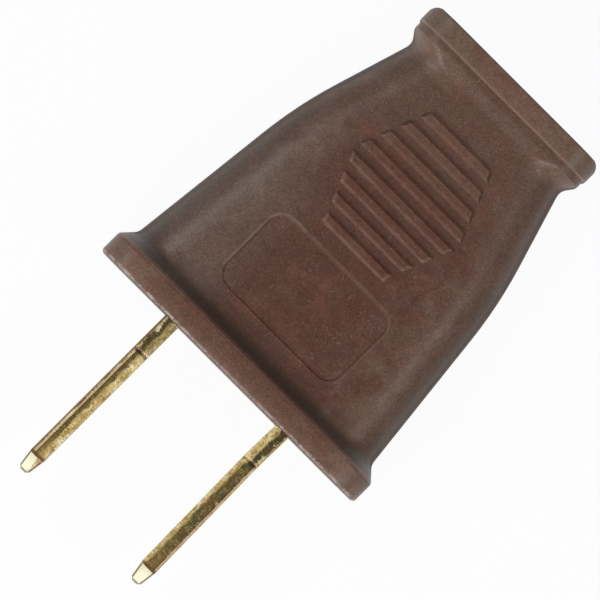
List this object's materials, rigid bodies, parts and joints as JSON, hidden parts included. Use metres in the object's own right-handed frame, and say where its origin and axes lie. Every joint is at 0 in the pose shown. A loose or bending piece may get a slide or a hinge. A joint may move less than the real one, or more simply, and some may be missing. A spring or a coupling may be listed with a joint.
{
  "type": "two-prong plug",
  "caption": "Flat two-blade mains plug with a one-piece moulded housing, flared front and rear rims, a ribbed grip patch, an inner core and a round cord hole.",
  "frame": {"origin": "middle of the front face that meets the outlet", "axes": "+X the way the blades point, +Y from the right blade to the left one, +Z square to the broad faces"},
  "size_m": [0.0507, 0.029, 0.0126],
  "materials": {
    "brown_moulding": "satin brown thermoset moulding, faintly mottled",
    "dark_moulding": "matt dark brown moulding",
    "blade_brass": "stamped brass, bright at the bevelled tips and tarnished on the sheared edges",
    "screw_plating": "nickel-plated"
  },
  "bodies": {
    "root": {"housing": "brown_moulding", "core": "dark_moulding", "blade_left": "blade_brass", "blade_right": "blade_brass", "terminal_screw_left": "screw_plating", "terminal_screw_right": "screw_plating"}
  },
  "joints": []
}
